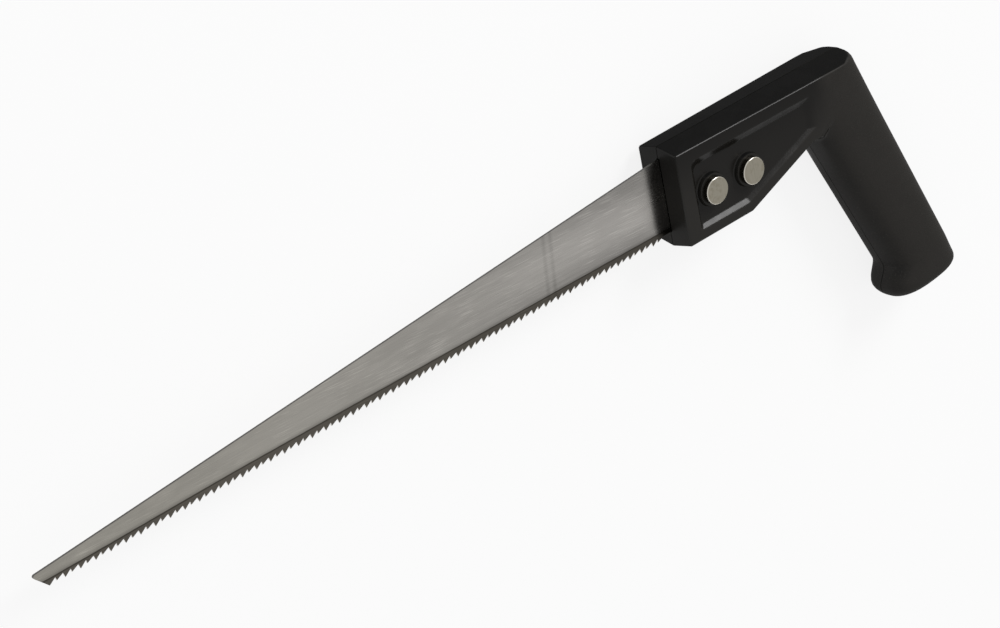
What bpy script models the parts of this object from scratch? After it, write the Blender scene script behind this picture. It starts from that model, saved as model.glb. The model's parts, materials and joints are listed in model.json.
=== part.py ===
"""Keyhole saw: a tapered, toothed steel blade riveted between two moulded handle halves.

While it is modelled, X runs from the blade's tip to the handle, with zero on the handle's front
face. Y runs from the teeth to the spine, with zero on the tooth line. Z is the saw's side
direction, with zero in the middle of the blade. The saw lies on its right side. A root empty then
puts the origin under the middle of the saw's box. All sizes are in metres and degrees.
"""

import math

import bmesh
import bpy
from mathutils import Vector

# Blade
BLADE_REACH = 0.3022  # handle's front face to the foremost point of the tip
BLADE_THICKNESS = 0.0010
BLADE_WIDTH_AT_HANDLE = 0.0335  # tooth line to spine at the handle's front face
BLADE_WIDTH_AT_TIP = 0.0065
TIP_LEAN = 0.00595  # how far the end edge leans back from the spine to the tooth line
TIP_ROUND = 0.0008

# Teeth
TOOTH_PITCH = 0.003175  # eight teeth to the inch
TOOTH_DEPTH = 0.0019
TOOTH_FACE_RUN = 0.0004  # run of the steep face that looks to the tip
TOOTH_SET = 0.00023  # how far a tip leans out of the blade's face
TOOTH_BEVEL = 0.0003  # how much higher the inner end of a filed tip lies
TOOTH_BAND = 0.0037  # width of the ground band along the teeth
BAND_RELIEF = 0.0001  # taken off each face at the tooth line
TEETH_CLEAR = 0.0015  # plain edge left in front of the handle

# Rivets
RIVET_FROM_FRONT = 0.0160
RIVET_SPACING = 0.0200
RIVET_LINE = 0.0159  # above the tooth line
RIVET_HEAD_RADIUS = 0.0057
RIVET_HEAD_HEIGHT = 0.0022
RIVET_HEAD_EDGE = 0.0005
RIVET_SHANK_RADIUS = 0.0030
RIVET_PIN_RADIUS = 0.0015
RIVET_PIN_GRIP = 0.0080  # length of pin inside the sleeve
SLEEVE_SHARE = 0.5  # share of the right half's thickness that the sleeve reaches through

# Tang
TANG_TAIL = 0.0155  # tang left behind the rear rivet
TANG_CORNER = 0.004

# Arm of the handle
ARM_OVER_SPINE = 0.0053  # ridge of the top face over the blade's spine at the front
ARM_UNDER_TEETH = 0.0048  # ridge of the underside below the tooth line at the front
ARM_TOP_SLOPE = 0.86
ARM_BOTTOM_SLOPE = 1.5
ARM_KINK = 0.0345  # front face to where the underside turns up
ARM_DIAGONAL = 21.9
ARM_HALF_THICKNESS = 0.0110
ARM_SIDE_SLOPE = 1.09  # each side spreads to the rear
ARM_TOP_CROWN = 0.0019  # drop from the ridge to the side
ARM_BOTTOM_CROWN = 0.0022
ARM_EDGE_RADIUS = 0.0010
FRONT_EDGE = 0.0008

# Grip
GRIP_FRONT = 0.0824  # handle's front face to the grip's front, level with the teeth
GRIP_DEPTH = 0.0376  # front to back, level with the teeth
GRIP_FRONT_RAKE = 24.4
GRIP_BACK_RAKE = 21.6
GRIP_DROP = 0.0803  # tooth line to the front of the grip's foot
GRIP_ROUNDNESS = 2.5  # exponent of the section: 2 is an ellipse
FOOT_RISE = 0.0048  # how much higher the foot lies at the rear
FOOT_EDGE = 0.005
FOOT_REAR_ROUND = 0.0030
CROTCH_RADIUS = 0.006
HEEL_FADE = 0.0065  # the arm's sharp top edges fade out over this, up to the heel
CROTCH_FADE = 0.5  # share of the turn after which the flat side rounds off into the grip
HEEL_RADIUS = 0.0045  # corner between the top face and the grip's back
TOE_REACH = 0.0080
TOE_START = 0.0641  # below the tooth line
TOE_BLEND = 0.0115
TOE_ROUND = 0.0038

# Side pocket and its bosses
POCKET_DEPTH = 0.0018
POCKET_FRONT_RIM = 0.0067
POCKET_TOP_RIM = 0.0050
POCKET_BOTTOM_RIM = 0.0040
POCKET_REAR_RIM = 0.0074  # ahead of the grip's front, level with the teeth
POCKET_DRAFT = 0.0022  # how far a wall leans in from the rim to the floor
POCKET_FRONT_DRAFT = 0.0017
POCKET_TOP_DRAFT = 0.0035
POCKET_REAR_DRAFT = 0.0048
POCKET_CORNER = 0.0030
POCKET_TIGHT_CORNER = 0.0010
POCKET_COVE = 0.0004  # round between the walls and the floor
POCKET_LIP = 0.0004  # broken edge of the rim
BOSS_RADIUS = 0.0068
BOSS_DRAFT = 0.0002
BOSS_FOOT = 0.0006  # round between the boss and the floor
BOSS_EDGE = 0.0003

# Locating pegs between the halves
PEG_COUNT = 3
PEG_RADIUS = 0.0025
PEG_LENGTH = 0.0040

# Fits
SEAT_GAP = 0.0003  # between pieces that touch
PARTING = SEAT_GAP / 2
CUT_MARGIN = 0.002  # how far a cutter stands out of what it cuts

# Fineness of the round forms
ARC_STEPS = 4
FLAT_STEPS = 11
FAN_TOP_STEPS = 6
FAN_HEEL_STEPS = 8
FAN_BACK_STEPS = 4
GRIP_STEPS = 7
TOE_STEPS = 9
FOOT_STEPS = 6
ROUND_SIDES = 40
SHARP_ANGLE = 32.0  # faces that meet at more than this have a sharp edge
BLADE_SHARP_ANGLE = 20.0
MERGE_DISTANCE = 1e-6

# Finishes
STEEL_COLOUR = (0.50, 0.49, 0.46)
STEEL_ROUGHNESS = 0.36
NICKEL_COLOUR = (0.62, 0.60, 0.56)
NICKEL_ROUGHNESS = 0.30
PLASTIC_COLOUR = (0.022, 0.021, 0.019)
PLASTIC_ROUGHNESS = 0.45

# Values that follow from the sizes above
ARM_TOP = BLADE_WIDTH_AT_HANDLE + ARM_OVER_SPINE
TOP_SLOPE = math.tan(math.radians(ARM_TOP_SLOPE))
BOTTOM_SLOPE = math.tan(math.radians(ARM_BOTTOM_SLOPE))
DIAGONAL_SLOPE = math.tan(math.radians(ARM_DIAGONAL))
SIDE_SLOPE = math.tan(math.radians(ARM_SIDE_SLOPE))
FRONT_RAKE = math.tan(math.radians(GRIP_FRONT_RAKE))
BACK_RAKE = math.tan(math.radians(GRIP_BACK_RAKE))
BREAK = 1.0 - math.cos(math.pi / 4)  # depth of a round edge at its middle, for a radius of one
RIVET_PLACES = [
    ("front", RIVET_FROM_FRONT),
    ("rear", RIVET_FROM_FRONT + RIVET_SPACING),
]
TANG_LENGTH = RIVET_FROM_FRONT + RIVET_SPACING + TANG_TAIL


def clear_scene():
    for obj in list(bpy.data.objects):
        bpy.data.objects.remove(obj, do_unlink=True)


def make_material(name, colour, roughness, metallic):
    material = bpy.data.materials.new(name)
    material.use_nodes = True
    shader = material.node_tree.nodes["Principled BSDF"]
    shader.inputs["Base Color"].default_value = (*colour, 1.0)
    shader.inputs["Roughness"].default_value = roughness
    shader.inputs["Metallic"].default_value = metallic
    return material


def add_object(name, bm, root, material=None, sharp_angle=SHARP_ANGLE):
    """A named object under the root empty, made from a bmesh with its faces turned outward."""
    bmesh.ops.recalc_face_normals(bm, faces=bm.faces)
    mesh = bpy.data.meshes.new(name)
    bm.to_mesh(mesh)
    bm.free()
    mesh.shade_smooth()
    mesh.set_sharp_from_angle(angle=math.radians(sharp_angle))
    obj = bpy.data.objects.new(name, mesh)
    bpy.context.collection.objects.link(obj)
    obj.parent = root
    if material:
        mesh.materials.append(material)
    else:
        obj.hide_render = True
        obj.display_type = "WIRE"
    return obj


def add_boolean(obj, tool, operation):
    modifier = obj.modifiers.new(tool.name, "BOOLEAN")
    modifier.operation = operation
    modifier.solver = "EXACT"
    modifier.object = tool


def smoothstep(value):
    value = min(max(value, 0.0), 1.0)
    return value * value * (3.0 - 2.0 * value)


def lines_meet(point, direction, other_point, other_direction):
    """Where two lines of the XY plane cross."""
    between = other_point - point
    share = between.cross(other_direction) / direction.cross(other_direction)
    return point + share * direction


def fillet(before, corner, after, radius, steps):
    """Points of the arc that rounds a corner, limited to half of each neighbouring edge."""
    back = (before - corner).normalized()
    ahead = (after - corner).normalized()
    half_angle = back.angle(ahead) / 2
    edge = min((before - corner).length, (after - corner).length) / 2
    reach = min(radius / math.tan(half_angle), edge)
    radius = reach * math.tan(half_angle)
    centre = corner + (back + ahead).normalized() * math.hypot(reach, radius)
    start = corner + back * reach - centre
    finish = corner + ahead * reach - centre
    sweep = start.angle_signed(finish)
    arc = []
    for step in range(steps + 1):
        turn = -sweep * step / steps
        cosine, sine = math.cos(turn), math.sin(turn)
        arc.append(centre + Vector((start.x * cosine - start.y * sine, start.x * sine + start.y * cosine)))
    return arc


def rounded_outline(corners, radii, steps):
    """A closed outline whose corners are arcs."""
    outline = []
    for index, corner in enumerate(corners):
        before = corners[index - 1]
        after = corners[(index + 1) % len(corners)]
        outline += fillet(before, corner, after, radii[index], steps)
    return outline


def prism(outline, bottom, top):
    bm = bmesh.new()
    lower = [bm.verts.new((p.x, p.y, bottom)) for p in outline]
    upper = [bm.verts.new((p.x, p.y, top)) for p in outline]
    join_loops(bm, lower, upper)
    bm.faces.new(lower)
    bm.faces.new(upper)
    return bm


def join_loops(bm, lower, upper):
    for index in range(len(lower)):
        after = (index + 1) % len(lower)
        bm.faces.new((lower[index], lower[after], upper[after], upper[index]))


def add_rings(bm, x, y, rings):
    """A closed round body along Z from (radius, height) rings, added to a bmesh."""
    loops = []
    for radius, height in rings:
        loop = []
        for side in range(ROUND_SIDES):
            turn = 2 * math.pi * side / ROUND_SIDES
            loop.append(bm.verts.new((x + radius * math.cos(turn), y + radius * math.sin(turn), height)))
        loops.append(loop)
    for lower, upper in zip(loops, loops[1:]):
        join_loops(bm, lower, upper)
    bm.faces.new(loops[0])
    bm.faces.new(loops[-1])


def turned(profile):
    """A solid of revolution about Z from (radius, height) points that start and end on the axis."""
    bm = bmesh.new()
    verts = [bm.verts.new((radius, 0.0, height)) for radius, height in profile]
    edges = [bm.edges.new(pair) for pair in zip(verts, verts[1:])]
    bmesh.ops.spin(
        bm, geom=verts + edges, cent=(0, 0, 0), axis=(0, 0, 1), angle=2 * math.pi, steps=ROUND_SIDES
    )
    bmesh.ops.remove_doubles(bm, verts=bm.verts, dist=MERGE_DISTANCE)
    return bm


# Outline of the saw in the parting plane


def blade_spine(x):
    share = -x / BLADE_REACH
    return BLADE_WIDTH_AT_HANDLE + (BLADE_WIDTH_AT_TIP - BLADE_WIDTH_AT_HANDLE) * share


def arm_top(x):
    return ARM_TOP + TOP_SLOPE * x


def arm_underside(x):
    return -ARM_UNDER_TEETH + BOTTOM_SLOPE * min(x, ARM_KINK) + DIAGONAL_SLOPE * max(x - ARM_KINK, 0.0)


def half_thickness(x):
    return ARM_HALF_THICKNESS + SIDE_SLOPE * x


def grip_back(y):
    return GRIP_FRONT + GRIP_DEPTH - BACK_RAKE * y


def grip_front(y):
    toe = TOE_REACH * smoothstep((-TOE_START - y) / TOE_BLEND)
    return GRIP_FRONT - FRONT_RAKE * y - toe


class Rib:
    """One section of the handle: a chord from the outer rail to the inner rail, and its roundness."""

    def __init__(self, outer, inner, outer_round, inner_round, shrink=0.0, lean=1.0):
        self.outer = outer
        self.inner = inner
        self.outer_round = outer_round
        self.inner_round = inner_round
        self.shrink = shrink
        self.lean = lean

    def points(self):
        """The section from the outer rail over the side to the inner rail, as (x, y, height)."""
        chord = self.inner - self.outer
        length = chord.length
        half = half_thickness((self.outer.x + self.inner.x) / 2)
        box = box_section(length, half, ARM_TOP_CROWN / self.lean)
        count = len(box) - 1
        points = []
        for index, (box_run, box_height) in enumerate(box):
            turn = math.pi * index / count
            cosine, sine = math.cos(turn), max(math.sin(turn), 0.0)
            power = 2.0 / GRIP_ROUNDNESS
            oval_run = length / 2 * (1.0 - math.copysign(abs(cosine) ** power, cosine))
            oval_height = half * sine**power if 0 < index < count else 0.0
            share = index / count
            roundness = self.outer_round + (self.inner_round - self.outer_round) * share
            run = box_run + (oval_run - box_run) * roundness
            height = box_height + (oval_height - box_height) * roundness
            place = self.outer + chord * (run / length)
            spread = (half_thickness(place.x) - self.shrink) / half
            points.append((place.x, place.y, max(height * spread, PARTING)))
        return points


def box_section(length, half, top_crown):
    """The arm's section: crowned faces at both ends, a flat side and small round edges."""
    start = Vector((0.0, 0.0))
    upper = Vector((top_crown, half))
    lower = Vector((length - ARM_BOTTOM_CROWN, half))
    finish = Vector((length, 0.0))
    first = fillet(start, upper, lower, ARM_EDGE_RADIUS, ARC_STEPS)
    last = fillet(upper, lower, finish, ARM_EDGE_RADIUS, ARC_STEPS)
    flat = [first[-1].lerp(last[0], step / (FLAT_STEPS + 1)) for step in range(1, FLAT_STEPS + 1)]
    return [start] + first + flat + last + [finish]


def crotch_arc(steps):
    """The inner rail's round corner, from the arm's underside to the grip's front."""
    kink = Vector((ARM_KINK, arm_underside(ARM_KINK)))
    corner = lines_meet(
        kink, Vector((1.0, DIAGONAL_SLOPE)), Vector((GRIP_FRONT, 0.0)), Vector((-FRONT_RAKE, 1.0))
    )
    foot = Vector((GRIP_FRONT + FRONT_RAKE * GRIP_DROP, -GRIP_DROP))
    return fillet(kink, corner, foot, CROTCH_RADIUS, steps)


def heel_arc(steps):
    """The outer rail's round corner, from the arm's top to the grip's back."""
    corner = lines_meet(
        Vector((0.0, ARM_TOP)),
        Vector((1.0, TOP_SLOPE)),
        Vector((GRIP_FRONT + GRIP_DEPTH, 0.0)),
        Vector((-BACK_RAKE, 1.0)),
    )
    foot = Vector((grip_back(-GRIP_DROP), -GRIP_DROP))
    return fillet(Vector((0.0, ARM_TOP)), corner, foot, HEEL_RADIUS, steps)


def arm_ribs():
    """Upright ribs: the front face with its round edge, then on to the kink of the underside."""
    middle = FRONT_EDGE * BREAK
    ribs = []
    for x, inset in ((0.0, FRONT_EDGE), (middle, middle), (FRONT_EDGE, 0.0), (ARM_KINK, 0.0)):
        outer = Vector((x, arm_top(x) - inset))
        inner = Vector((x, arm_underside(x) + inset))
        ribs.append(Rib(outer, inner, 0.0, 0.0, inset))
    return ribs


def fan_ribs():
    """Ribs that turn from upright in the arm to level in the grip, round the crotch."""
    count = FAN_TOP_STEPS + FAN_HEEL_STEPS + FAN_BACK_STEPS
    inner = crotch_arc(count)
    heel = heel_arc(FAN_HEEL_STEPS)
    top_start = Vector((inner[0].x, arm_top(inner[0].x)))
    back_end = Vector((grip_back(inner[-1].y), inner[-1].y))
    outer = [top_start.lerp(heel[0], step / FAN_TOP_STEPS) for step in range(FAN_TOP_STEPS)]
    outer += heel
    outer += [heel[-1].lerp(back_end, step / FAN_BACK_STEPS) for step in range(1, FAN_BACK_STEPS + 1)]
    fade_start = heel[0].x - HEEL_FADE
    ribs = []
    for index in range(count + 1):
        outer_round = smoothstep((outer[index].x - fade_start) / (heel[-1].x - fade_start))
        inner_round = smoothstep((index / count - CROTCH_FADE) / (1.0 - CROTCH_FADE))
        rail = outer[min(index + 1, count)] - outer[max(index - 1, 0)]
        chord = inner[index] - outer[index]
        lean = abs(rail.normalized().cross(chord.normalized()))
        ribs.append(Rib(outer[index], inner[index], outer_round, inner_round, lean=lean))
    return ribs


def grip_ribs(top):
    """Ribs from the crotch to the foot, with the toe and the rounded foot, which rises to the rear."""
    foot_start = -GRIP_DROP + FOOT_EDGE
    stops = [(top + (-TOE_START - top) * step / GRIP_STEPS, 0.0) for step in range(1, GRIP_STEPS + 1)]
    for step in range(1, TOE_STEPS + 1):
        stops.append((-TOE_START + (foot_start + TOE_START) * step / TOE_STEPS, 0.0))
    for step in range(1, FOOT_STEPS + 1):
        turn = math.pi / 2 * step / FOOT_STEPS
        stops.append((foot_start - FOOT_EDGE * math.sin(turn), 1.0 - math.cos(turn)))
    ribs = []
    for y, fall in stops:
        rear = y + FOOT_RISE * (top - y) / (top + GRIP_DROP)
        outer = Vector((grip_back(rear) - FOOT_REAR_ROUND * fall, rear))
        inner = Vector((grip_front(y) + TOE_ROUND * fall, y))
        ribs.append(Rib(outer, inner, 1.0, 1.0, FOOT_EDGE * fall))
    return ribs


def handle_form(side):
    """The outer form of one half, lofted over the ribs between two rails. side is 1 left, -1 right."""
    fan = fan_ribs()
    ribs = arm_ribs() + fan + grip_ribs(fan[-1].inner.y)
    bm = bmesh.new()
    rows = [[bm.verts.new((x, y, side * z)) for x, y, z in rib.points()] for rib in ribs]
    for row, after in zip(rows, rows[1:]):
        for index in range(len(row) - 1):
            bm.faces.new((row[index], row[index + 1], after[index + 1], after[index]))
        bm.faces.new((row[-1], row[0], after[0], after[-1]))
    bm.faces.new(rows[0])
    bm.faces.new(rows[-1])
    return bm


# Cuts in the handle


def pocket_lines(draft, inset):
    """The five sides of the side pocket, moved inward by an inset and by their share of the draft."""
    level = Vector((1.0, BOTTOM_SLOPE))
    diagonal = Vector((1.0, DIAGONAL_SLOPE))
    kink = Vector((ARM_KINK, arm_underside(ARM_KINK) + ARM_BOTTOM_CROWN))
    lift = POCKET_BOTTOM_RIM + POCKET_DRAFT * draft + inset
    front = POCKET_FRONT_RIM + POCKET_FRONT_DRAFT * draft + inset
    rear = GRIP_FRONT - POCKET_REAR_RIM - POCKET_REAR_DRAFT * draft - inset
    top = ARM_TOP - ARM_TOP_CROWN - POCKET_TOP_RIM - POCKET_TOP_DRAFT * draft - inset
    upright = Vector((0.0, 1.0))
    return [
        (Vector((front, 0.0)), upright),
        (kink + Vector((0.0, lift)), level),
        (kink + Vector((-DIAGONAL_SLOPE, 1.0)).normalized() * lift, diagonal),
        (Vector((rear, 0.0)), upright),
        (Vector((0.0, top)), Vector((1.0, TOP_SLOPE))),
    ]


def pocket_outline(draft, inset):
    lines = pocket_lines(draft, inset)
    corners = [lines_meet(*lines[index - 1], *lines[index]) for index in range(len(lines))]
    radii = [POCKET_CORNER, POCKET_TIGHT_CORNER, POCKET_CORNER, POCKET_TIGHT_CORNER, POCKET_CORNER]
    return rounded_outline(corners, radii, ARC_STEPS)


def pocket_levels():
    """(depth, inset) down the pocket's wall: out of the side, over the rim and into the cove."""
    foot = POCKET_COVE * BREAK
    over_rim = POCKET_LIP * (BREAK - 2.0)
    return [
        (-CUT_MARGIN, over_rim),
        (-POCKET_LIP * BREAK, over_rim),
        (POCKET_LIP * BREAK, -POCKET_LIP * BREAK),
        (POCKET_LIP, 0.0),
        (POCKET_DEPTH - POCKET_COVE, 0.0),
        (POCKET_DEPTH - foot, foot),
        (POCKET_DEPTH, POCKET_COVE),
    ]


def pocket_cutter(root, side):
    """The pocket's space, with a broken rim and a cove round its floor."""
    bm = bmesh.new()
    loops = []
    for depth, inset in pocket_levels():
        outline = pocket_outline(depth / POCKET_DEPTH, inset)
        loops.append([bm.verts.new((p.x, p.y, side * (half_thickness(p.x) - depth))) for p in outline])
    for upper, lower in zip(loops, loops[1:]):
        join_loops(bm, upper, lower)
    bm.faces.new(loops[0])
    bm.faces.new(loops[-1])
    return add_object(f"pocket_{side_name(side)}", bm, root)


def boss_blank(root, side):
    """The two bosses that carry the rivet heads, with a round foot and a broken edge."""
    bm = bmesh.new()
    foot = BOSS_RADIUS + BOSS_DRAFT
    under_floor = foot + BOSS_FOOT * (2.0 - BREAK)
    for _, x in RIVET_PLACES:
        top = half_thickness(x)
        floor = top - POCKET_DEPTH
        rings = [
            (under_floor, floor - CUT_MARGIN),
            (under_floor, floor - BOSS_FOOT * BREAK),
            (foot + BOSS_FOOT * BREAK, floor + BOSS_FOOT * BREAK),
            (foot, floor + BOSS_FOOT),
            (BOSS_RADIUS, top - BOSS_EDGE),
            (BOSS_RADIUS - BOSS_EDGE * BREAK, top - BOSS_EDGE * BREAK),
            (BOSS_RADIUS - BOSS_EDGE, top),
        ]
        add_rings(bm, x, RIVET_LINE, [(radius, side * height) for radius, height in rings])
    return add_object(f"bosses_{side_name(side)}", bm, root)


def side_name(side):
    return "left" if side > 0 else "right"


def rivet_bores(root):
    bm = bmesh.new()
    reach = 2 * half_thickness(TANG_LENGTH)
    radius = RIVET_SHANK_RADIUS + SEAT_GAP
    for _, x in RIVET_PLACES:
        add_rings(bm, x, RIVET_LINE, [(radius, -reach), (radius, reach)])
    return add_object("rivet_bores", bm, root)


def tang_corners(margin):
    """The tang's outline inside the handle, grown by a margin, from the front face."""
    low = TOOTH_DEPTH - margin
    rear = TANG_LENGTH + margin
    top = BLADE_WIDTH_AT_HANDLE + margin
    return [
        Vector((ARM_KINK, low)),
        Vector((rear, low + DIAGONAL_SLOPE * (rear - ARM_KINK))),
        Vector((rear, top)),
    ]


def tang_slot(root):
    """The shallow recess for the tang, open at the handle's front face."""
    corners = [Vector((-CUT_MARGIN, TOOTH_DEPTH - SEAT_GAP))]
    corners += tang_corners(SEAT_GAP)
    corners += [Vector((x, blade_spine(x) + SEAT_GAP)) for x in (0.0, -CUT_MARGIN)]
    depth = BLADE_THICKNESS / 2 + SEAT_GAP
    return add_object("tang_slot", prism(corners, -depth, depth), root)


def peg_places():
    """Peg centres down the middle of the grip."""
    top = crotch_arc(1)[-1].y
    low = -TOE_START
    places = []
    for index in range(PEG_COUNT):
        y = top + (low - top) * index / (PEG_COUNT - 1)
        places.append(((grip_back(y) + grip_front(y)) / 2, y))
    return places


def peg_rods(root, name, gap):
    bm = bmesh.new()
    for x, y in peg_places():
        add_rings(bm, x, y, [(PEG_RADIUS + gap, -PEG_LENGTH - gap), (PEG_RADIUS + gap, CUT_MARGIN)])
    return add_object(name, bm, root)


# Pieces


def make_handle_half(root, material, side, shared):
    half = add_object(f"handle_{side_name(side)}_half", handle_form(side), root, material)
    add_boolean(half, pocket_cutter(root, side), "DIFFERENCE")
    add_boolean(half, boss_blank(root, side), "UNION")
    add_boolean(half, shared["slot"], "DIFFERENCE")
    add_boolean(half, shared["bores"], "DIFFERENCE")
    if side > 0:
        add_boolean(half, peg_rods(root, "pegs", 0.0), "UNION")
    else:
        add_boolean(half, peg_rods(root, "peg_sockets", SEAT_GAP), "DIFFERENCE")


def tooth_gullets(tip_low):
    """Where the gullets lie along the tooth line. The tip's lower corner stands as the first tooth."""
    first = tip_low.x + TOOTH_PITCH - TOOTH_FACE_RUN
    count = int((-TEETH_CLEAR - first) / TOOTH_PITCH)
    return [first + TOOTH_PITCH * index for index in range(count + 1)]


def tang_end():
    """The tang's edge from its lower bend round its two rear corners."""
    bend, low, high = tang_corners(0.0)
    front = Vector((0.0, BLADE_WIDTH_AT_HANDLE))
    rounded_low = fillet(bend, low, high, TANG_CORNER, ARC_STEPS)
    rounded_high = fillet(low, high, front, TANG_CORNER, ARC_STEPS)
    return [bend] + rounded_low + rounded_high + [front]


def add_blade_side(bm, face):
    """One face of the blade, with its ground band and set teeth. Returns its edge in order."""
    tip_top = Vector((-BLADE_REACH, blade_spine(-BLADE_REACH)))
    tip_low = Vector((-BLADE_REACH + TIP_LEAN, 0.0))
    tip_band = tip_low.lerp(tip_top, TOOTH_BAND / tip_top.y)
    tip_arc = fillet(Vector((0.0, BLADE_WIDTH_AT_HANDLE)), tip_top, tip_band, TIP_ROUND, ARC_STEPS)
    gullets = tooth_gullets(tip_low)
    half = BLADE_THICKNESS / 2
    relief = BAND_RELIEF * (TOOTH_BAND - TOOTH_DEPTH) / TOOTH_BAND

    def corner(point, sink=0.0):
        return bm.verts.new((point.x, point.y, face * (half - sink)))

    tip = [corner(point) for point in tip_arc]
    band_start = corner(tip_band)
    band_end = corner(Vector((0.0, TOOTH_BAND)))
    low = corner(tip_low, BAND_RELIEF)
    roots = [corner(Vector((x, TOOTH_DEPTH)), relief) for x in gullets]
    foot = corner(Vector((0.0, TOOTH_DEPTH)), relief)
    tang = [corner(point) for point in tang_end()]
    bm.faces.new(tip + [band_start, band_end, foot] + tang)
    bm.faces.new([band_start, low] + roots + [foot, band_end])

    edge = [band_start, low]
    for index, (root, after) in enumerate(zip(roots, roots[1:])):
        lean = TOOTH_SET if index % 2 else -TOOTH_SET
        y = 0.0 if lean * face > 0 else TOOTH_BEVEL
        height = face * (half - BAND_RELIEF) + lean
        point = bm.verts.new((gullets[index] + TOOTH_FACE_RUN, y, height))
        bm.faces.new((root, point, after))
        edge += [root, point]
    return edge + [roots[-1], foot] + tang + tip


def make_blade(root, material, bores):
    """Flat blank with a ground tooth band, alternately set teeth and a tang with two holes."""
    bm = bmesh.new()
    join_loops(bm, add_blade_side(bm, 1), add_blade_side(bm, -1))
    blade = add_object("blade", bm, root, material, BLADE_SHARP_ANGLE)
    add_boolean(blade, bores, "DIFFERENCE")


def rivet_head(seat):
    """Profile of a flat round head from its crown to its seat."""
    top = seat + RIVET_HEAD_HEIGHT
    outer = RIVET_HEAD_RADIUS
    edge = RIVET_HEAD_EDGE
    profile = [(0.0, top), (outer - edge, top)]
    for step in range(1, ARC_STEPS + 1):
        turn = math.pi / 2 * step / ARC_STEPS
        profile.append((outer - edge + edge * math.sin(turn), top - edge + edge * math.cos(turn)))
    profile.append((outer, seat))
    return profile


def make_rivet(root, material, name, x):
    """A sleeve from the left side and a pin from the right side that is pressed into it."""
    seat = half_thickness(x) + SEAT_GAP
    sleeve_end = -seat * SLEEVE_SHARE
    bore = RIVET_PIN_RADIUS + SEAT_GAP
    pin_end = sleeve_end + RIVET_PIN_GRIP
    sleeve = rivet_head(seat)
    sleeve += [
        (RIVET_SHANK_RADIUS, seat),
        (RIVET_SHANK_RADIUS, sleeve_end),
        (bore, sleeve_end),
        (bore, pin_end + SEAT_GAP),
        (0.0, pin_end + SEAT_GAP),
    ]
    pin = rivet_head(seat)
    shoulder = -sleeve_end + SEAT_GAP
    pin += [
        (RIVET_SHANK_RADIUS, seat),
        (RIVET_SHANK_RADIUS, shoulder),
        (RIVET_PIN_RADIUS, shoulder),
        (RIVET_PIN_RADIUS, -pin_end),
        (0.0, -pin_end),
    ]
    for part, profile, turn in (("sleeve", sleeve, 0.0), ("pin", pin, math.pi)):
        obj = add_object(f"{name}_rivet_{part}", turned(profile), root, material)
        obj.location = (x, RIVET_LINE, 0.0)
        obj.rotation_euler = (turn, 0.0, 0.0)


def rest_on_origin(root):
    """Moves the root so that the world origin lies under the middle of the saw's box."""
    bpy.context.view_layer.update()
    graph = bpy.context.evaluated_depsgraph_get()
    points = []
    for obj in root.children:
        if not obj.hide_render:
            evaluated = obj.evaluated_get(graph)
            points += [evaluated.matrix_world @ Vector(corner) for corner in evaluated.bound_box]
    low = [min(point[axis] for point in points) for axis in range(3)]
    high = [max(point[axis] for point in points) for axis in range(3)]
    root.location = (-(low[0] + high[0]) / 2, -(low[1] + high[1]) / 2, -low[2])
    print("root", [round(value, 6) for value in root.location])
    print("box", [round(b - a, 6) for a, b in zip(low, high)])


def main():
    clear_scene()
    root = bpy.data.objects.new("saw", None)
    bpy.context.collection.objects.link(root)
    steel = make_material("blade_steel", STEEL_COLOUR, STEEL_ROUGHNESS, 1.0)
    nickel = make_material("rivet_nickel", NICKEL_COLOUR, NICKEL_ROUGHNESS, 1.0)
    plastic = make_material("handle_plastic", PLASTIC_COLOUR, PLASTIC_ROUGHNESS, 0.0)
    bores = rivet_bores(root)
    shared = {"slot": tang_slot(root), "bores": bores}
    make_blade(root, steel, bores)
    for side in (1, -1):
        make_handle_half(root, plastic, side, shared)
    for name, x in RIVET_PLACES:
        make_rivet(root, nickel, name, x)
    rest_on_origin(root)


main()
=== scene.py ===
# %% [markdown]
# # A keyhole saw on a white table
#
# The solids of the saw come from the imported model: a blade, two handle halves and two rivets of
# two pieces each. They already have the right shapes and sizes, so this lesson keeps them and
# works on what the light sees: smooth shading, ground steel, satin nickel and moulded plastic.

import json
import math

import bmesh
import bpy
from mathutils import Matrix, Vector

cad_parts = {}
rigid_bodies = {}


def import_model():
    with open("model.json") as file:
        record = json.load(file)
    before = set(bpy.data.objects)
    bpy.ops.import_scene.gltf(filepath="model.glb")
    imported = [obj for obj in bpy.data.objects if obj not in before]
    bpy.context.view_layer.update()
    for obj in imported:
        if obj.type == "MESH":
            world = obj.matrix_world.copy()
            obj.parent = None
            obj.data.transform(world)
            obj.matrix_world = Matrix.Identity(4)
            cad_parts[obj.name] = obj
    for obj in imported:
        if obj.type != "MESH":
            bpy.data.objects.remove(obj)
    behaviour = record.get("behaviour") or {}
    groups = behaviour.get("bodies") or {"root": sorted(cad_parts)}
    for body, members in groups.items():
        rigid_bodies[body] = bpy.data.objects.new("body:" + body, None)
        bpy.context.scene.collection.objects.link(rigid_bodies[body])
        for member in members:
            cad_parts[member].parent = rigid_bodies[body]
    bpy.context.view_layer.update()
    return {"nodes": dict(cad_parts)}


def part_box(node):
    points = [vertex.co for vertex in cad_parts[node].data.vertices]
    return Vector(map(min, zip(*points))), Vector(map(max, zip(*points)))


for leftover in list(bpy.data.objects):
    bpy.data.objects.remove(leftover, do_unlink=True)

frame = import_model()
solids = frame["nodes"]
print("solids:", sorted(solids))

# %% [markdown]
# ## Where things are on the saw
#
# Textures need to know where the tooth line, the handle's front face and the tip lie. The numbers
# could be copied from the model by hand, but they would go stale when a size changes. Here they
# are read from the boxes of the solids: the blade's lowest Y is the tooth line, and the handle's
# lowest X is its front face.

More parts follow.
